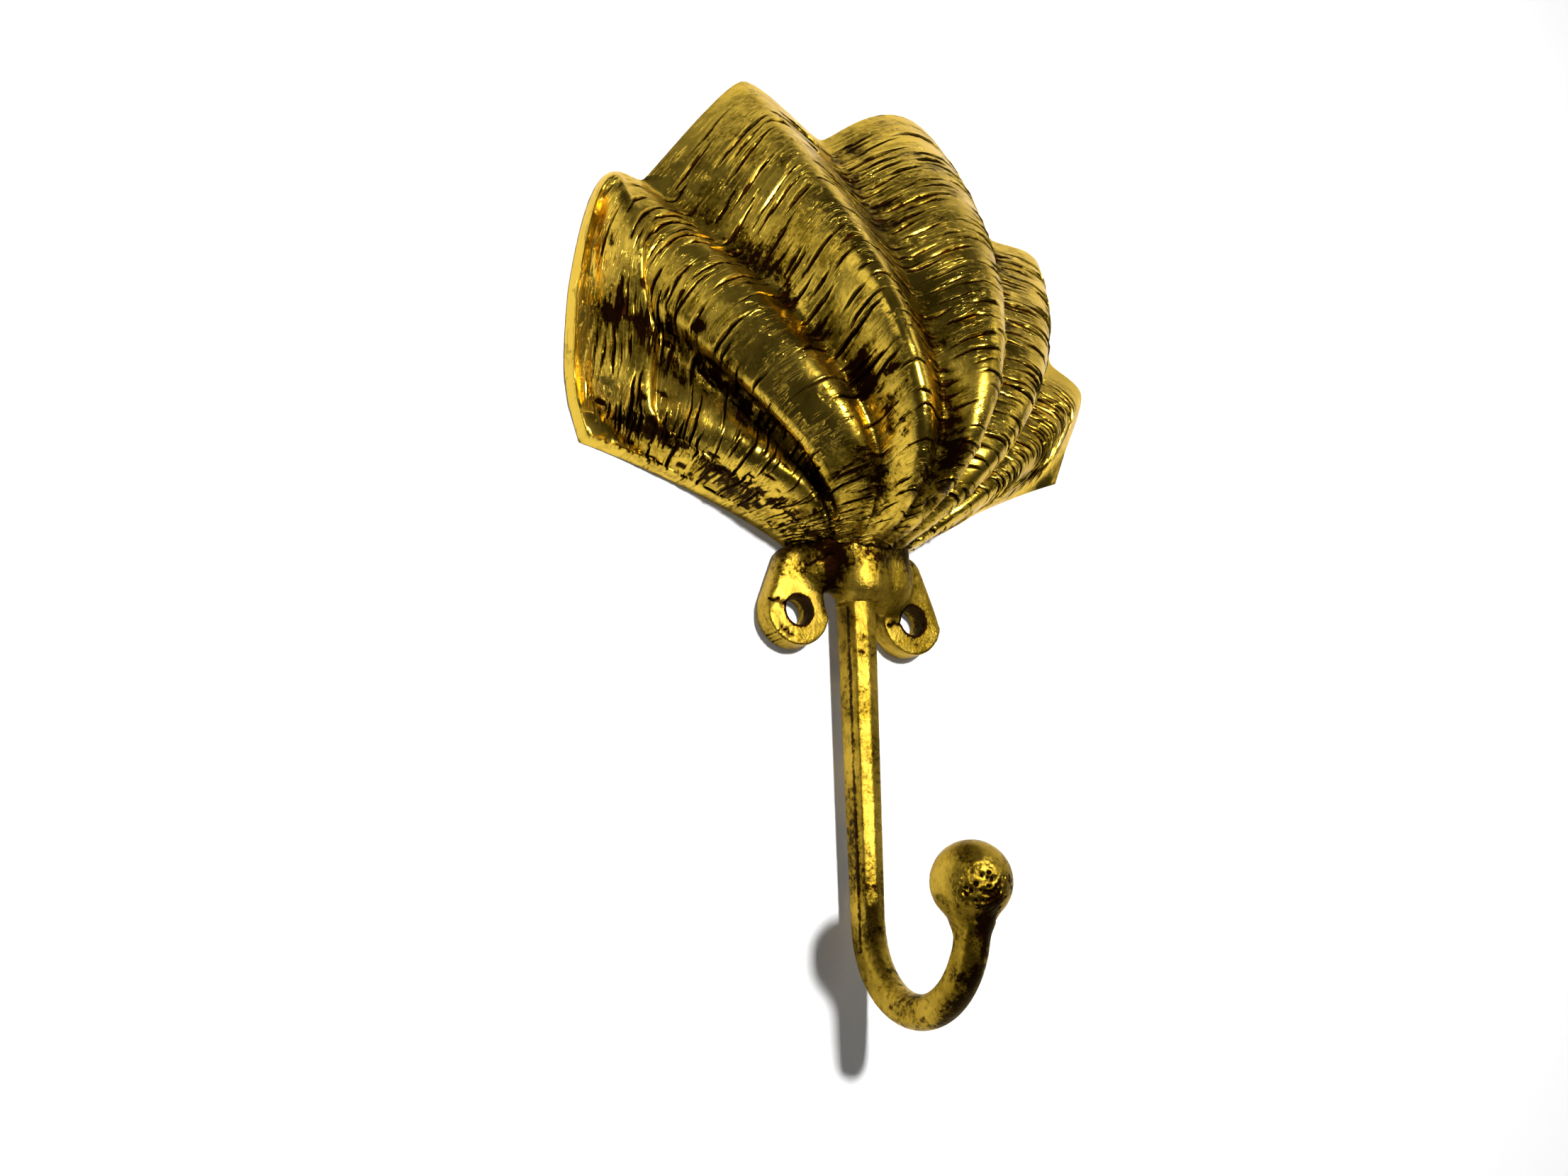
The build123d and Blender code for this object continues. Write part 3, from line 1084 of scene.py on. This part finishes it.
    def _file_rod(self, points: np.ndarray, moved: np.ndarray) -> None:
        """Files the flats round the rod, and one along the left side of the whole hook.

        Args:
            points: the plain piece's vertices.
            moved: the worked vertices, which it moves.
        """
        radius, on_rod = self._beside_rod(points)
        on_rod &= (points[:, 2] > self.bend_centre_height) & (points[:, 2] < self.boss_bottom)
        for turned, keep in self.rod_flats:
            facing = np.array([math.cos(math.radians(turned)), math.sin(math.radians(turned))])
            over = np.maximum((moved[:, :2] - self.rod_axis) @ facing - keep * radius, 0) * on_rod
            moved[:, :2] -= over[:, None] * facing * self.rod_bite
        low = unit(np.linalg.norm(points - self.ball_middle, axis=1) / self.ball_radius * 4 - 4)
        low *= points[:, 2] < 1
        over = np.maximum(-self.hook_offset - self.side_flat * self.rod_low_radius - moved[:, 0], 0)
        moved[:, 0] += self.bite * over * low * (np.abs(moved[:, 0]) < 4)

    def _file_ball(self, points: np.ndarray, moved: np.ndarray, draw: np.random.Generator) -> None:
        """Files flats all round the ball.

        Args:
            points: the plain piece's vertices.
            moved: the worked vertices, which it moves.
            draw: the source of their directions.
        """
        near_ball = np.linalg.norm(points - self.ball_middle, axis=1) < 1.1 * self.ball_radius
        for _ in range(self.ball_flats):
            facing = draw.normal(size=3)
            facing /= np.linalg.norm(facing)
            over = np.maximum((moved - self.ball_middle) @ facing - self.ball_flat * self.ball_radius, 0)
            moved -= (over * near_ball)[:, None] * facing * self.bite

    def _pit(self, points: np.ndarray, moved: np.ndarray, draw: np.random.Generator) -> np.ndarray:
        """Sinks pits into the front of the ball.

        Args:
            points: the plain piece's vertices.
            moved: the worked vertices, which it moves.
            draw: the source of their places, sizes and depths.

        Returns:
            How dark each vertex is.
        """
        from_ball, dark = points - self.ball_middle, np.zeros(len(points))
        for _ in range(self.pits):
            facing = np.array(self.pits_face) + draw.normal(size=3) * self.pits_spread
            spot = self.ball_middle + facing / np.linalg.norm(facing) * self.ball_radius
            size, depth = draw.uniform(*self.pit_size), draw.uniform(*self.pit_depth)
            pit = bell(np.linalg.norm(points - spot, axis=1), size)
            moved -= from_ball / self.ball_radius * (pit * depth)[:, None]
            dark = np.maximum(dark, pit)
        return dark

    def _crack(self, moved: np.ndarray) -> np.ndarray:
        """Opens the short cracks of the casting in the front of the lugs and arms.

        Args:
            moved: the worked vertices, which it moves.

        Returns:
            How dark each vertex is.
        """
        dark = np.zeros(len(moved))
        for start, end in self.cracks:
            line = np.array(end) - start
            from_start = moved[:, [0, 2]] - start
            t = unit(from_start @ line / (line @ line))
            gap = from_start - t[:, None] * line
            gap[:, 1] += 0.18 * np.sin(t * 11)
            crack = bell(np.linalg.norm(gap, axis=1), self.crack_width) * (moved[:, 1] < -2.2)
            moved[:, 1] += self.crack_depth * crack
            dark = np.maximum(dark, crack)
        return dark

    def _painted_reflection(self, points: np.ndarray) -> np.ndarray:
        """How dark each vertex is for the dark reflection painted down the left front of the rod."""
        x, y = (points[:, :2] - self.rod_axis).T
        # Painted reflection: darkens the rod's left front facet as if it mirrored a dark surround.
        dark_reflection = bell(np.degrees(np.arctan2(y, x)) - self.painted_reflection_face, self.painted_reflection_width)
        dark_reflection = dark_reflection * (points[:, 2] > self.bend_centre_height - 4) * (points[:, 2] < 1)
        return self.painted_reflection_darkness * dark_reflection * self._beside_rod(points)[1]

    def _file_lug(self, points: np.ndarray, moved: np.ndarray) -> np.ndarray:
        """Cuts fine file marks across the lower left edge of the left lug.

        Args:
            points: the plain piece's vertices.
            moved: the worked vertices, which it moves.

        Returns:
            How dark each vertex is.
        """
        from_hole = points[:, [0, 2]] - [-self.hole_spacing / 2, 0]
        turn = np.arctan2(from_hole[:, 1], from_hole[:, 0])
        filed = unit(np.linalg.norm(from_hole, axis=1) - self.lug_radius + 1.3) * (points[:, 0] < -8)
        filed *= bell(turn - self.marks_face, self.marks_width)
        marks = np.sin(turn * self.marks_round)
        moved += from_hole[:, [0, 0, 1]] * [1, 0, 1] * (0.02 * filed * marks)[:, None]
        return 0.6 * filed * (marks < -0.2)

    def _hook_stain_and_shade(self, points: np.ndarray) -> np.ndarray:
        """How dark each vertex is: darkest where the neck runs into the shell, darker inside the screw holes, on
        the back of the rod next to the wall, on the outer side of the bend and a little on the rod, with painted
        shade in the crevice on the left of the boss.

        Args:
            points: the plain piece's vertices.

        Returns:
            A value for each vertex, mostly from 0 to 1.
        """
        x, y, z = points.T
        high = unit((z - 4.0) / 5.0)
        # Painted shade: darkens the crevice on the left of the boss, where it meets the neck.
        from_boss = x + self.hook_offset + self.boss_radius + 0.6
        painted_boss_shade = bell(from_boss, 1.1) * unit((z + 1.5) / 3) * (y > -7.5)
        from_hole = np.hypot(np.abs(x) - self.hole_spacing / 2, z)
        in_hole = unit(1.6 - (from_hole - self.hole_radius) / 0.25) * (y < -0.2) * (y > -5)
        behind = unit((y + 1.4) / 1.2) * (z < -6)
        on_rod = unit(1 - z) * (np.abs(x) < 4)
        bend_y = y + self.rod_standoff + self.bend_radius
        outward = np.hypot(bend_y, np.minimum(z - self.bend_centre_height, 0)) - self.bend_radius
        outer_side = unit(outward / 1.2) * unit(-bend_y / 5) * (z < self.ball_height - 2)
        outer_side *= bell(x + self.hook_offset - 0.4, 1.6)
        layers = (
            (0.26, high), (0.07, on_rod), (0.3, outer_side), (0.35, painted_boss_shade), (0.75, in_hole), (0.4, behind))
        return sum((level * layer for level, layer in layers), start=0.33)


@dataclass
class Studio:
    """A white wall behind the hook, soft lamps, a dim surround, and the camera of the photograph.

    Each lamp has a name, a place in metres, a size in metres and a power in watts.
    """

    camera_azimuth: float = -31.0
    camera_elevation: float = -13.0
    camera_roll: float = -1.681
    camera_distance: float = 264.733
    target: Triple = (-9.952, 0.0, 3.944)
    focal_px: float = 2600.0
    image_width_px: float = 2212.0
    sensor_mm: float = 36.0
    wall_size: float = 6.0
    wall_gap: float = 0.0002
    wall_white: float = 0.9
    wall_roughness: float = 0.9
    wall_glow: float = 0.06
    surround: float = 0.035
    footprint: np.ndarray = field(default_factory=lambda: Fan().footprint(0.95))
    lamps: tuple[tuple[str, Triple, float, float], ...] = (
        ("key", (0.02, -0.40, 0.075), 0.03, 2.2), ("right", (0.55, -0.25, 0.35), 0.35, 0.5),
        ("left", (-0.5, -0.2, 0.3), 0.25, 0.3), ("behind", (0.0, 0.45, 0.05), 0.4, 2.0))

    def build(self) -> None:
        """Sets up the wall, the lamps, the surround and the camera."""
        self._wall()
        for lamp in self.lamps:
            self._lamp(*lamp)
        self._surround()
        self._camera()
        bpy.context.scene.view_settings.view_transform = "Standard"

    def _wall(self) -> None:
        """The white wall, unseen from behind and open behind the shell, so that its hollow is lit."""
        deselect()
        bpy.ops.mesh.primitive_circle_add(vertices=len(self.footprint))
        opening = bpy.context.object
        set_points(opening, self.footprint + [0, self.wall_gap / MM, 0])
        deselect()
        bpy.ops.mesh.primitive_plane_add(
            size=self.wall_size, rotation=(math.pi / 2, 0, 0), location=(0, self.wall_gap, 0))
        wall = named(joined([baked(), opening]), "wall")
        edit_all(partial(bpy.ops.mesh.delete, type="ONLY_FACE"), bpy.ops.mesh.fill)
        if sum(face.normal.y for face in wall.data.polygons) > 0:
            wall.data.flip_normals()
        wall.data.materials.append(self._wall_paint())

    def _wall_paint(self) -> bpy.types.Material:
        """Matt white paint that glows a little to the camera and in reflections, and is clear from behind."""
        nodes = Nodes("white_wall")
        rays = nodes.add("LightPath", {})
        seen = nodes.combine("MAXIMUM", rays["Is Camera Ray"], rays["Is Glossy Ray"], False)
        nodes.feed(nodes.shader, {
            "Base Color": (self.wall_white, self.wall_white, self.wall_white, 1), "Roughness": self.wall_roughness,
            "Emission Color": (1, 1, 1, 1), "Emission Strength": nodes.combine("MULTIPLY", seen, self.wall_glow, False)})
        shown = nodes.add("MixShader", {
            "Fac": nodes.add("NewGeometry", {})["Backfacing"], 1: nodes.shader.outputs["BSDF"],
            2: nodes.add("BsdfTransparent", {})["BSDF"]})
        nodes.feed(nodes.tree.nodes["Material Output"], {"Surface": shown["Shader"]})
        return nodes.material

    def _lamp(self, name: str, place: Triple, size: float, power: float) -> None:
        """A square soft lamp, turned to the hook."""
        data = bpy.data.lights.new(name, "AREA")
        data.size, data.energy = size, power
        lamp = bpy.data.objects.new(name, data)
        lamp.visible_camera = False
        bpy.context.scene.collection.objects.link(lamp)
        lamp.location = place
        lamp.rotation_mode = "QUATERNION"
        lamp.rotation_quaternion = (-Vector(place)).to_track_quat("-Z", "Y")

    def _surround(self) -> None:
        """The dim, even light of the room."""
        world = bpy.data.worlds.new("room")
        bpy.context.scene.world = world
        world.use_nodes = True
        sky = world.node_tree.nodes["Background"]
        sky.inputs["Color"].default_value = (1, 1, 1, 1)
        sky.inputs["Strength"].default_value = self.surround

    def _camera(self) -> None:
        """The camera, at the place and angle that the photograph was taken from."""
        azimuth, elevation = math.radians(self.camera_azimuth), math.radians(self.camera_elevation)
        back = Vector((math.sin(azimuth) * math.cos(elevation), -math.cos(azimuth) * math.cos(elevation),
                       math.sin(elevation)))
        right = (-back).cross(Vector((0, 0, 1))).normalized()
        up = right.cross(-back)
        roll = math.radians(self.camera_roll)
        across = right * math.cos(roll) + up * math.sin(roll)
        upward = up * math.cos(roll) - right * math.sin(roll)
        data = bpy.data.cameras.new("camera")
        data.sensor_width = self.sensor_mm
        data.lens = self.sensor_mm * self.focal_px / self.image_width_px
        data.clip_start, data.clip_end = 0.01, 50
        camera = bpy.data.objects.new("camera", data)
        bpy.context.scene.collection.objects.link(camera)
        place = (Vector(self.target) + back * self.camera_distance) * MM
        camera.matrix_world = Matrix.Translation(place) @ Matrix((across, upward, back)).transposed().to_4x4()
        bpy.context.scene.camera = camera


def main() -> None:
    """Builds the hook's two carved meshes, dresses them and sets up the studio."""
    logging.basicConfig(level=logging.INFO, format="%(message)s")
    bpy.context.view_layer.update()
    hook_brass = AntiqueBrass(
        "hook_brass", polished=(0.48, 0.31, 0.033), polished_roughness=0.31, grain=0.09, granular=1.0)
    for part, finish in ((Shell(), AntiqueBrass("shell_brass", strokes=0.2)), (HookAndLugs(), hook_brass)):
        piece = part.build()
        piece.data.materials.clear()
        piece.data.materials.append(finish.build())
        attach(piece, "root")
        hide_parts("shell_hook")
        log.info("%s: %d faces", piece.name, len(piece.data.polygons))
    Studio().build()


if __name__ == "__main__":
    main()
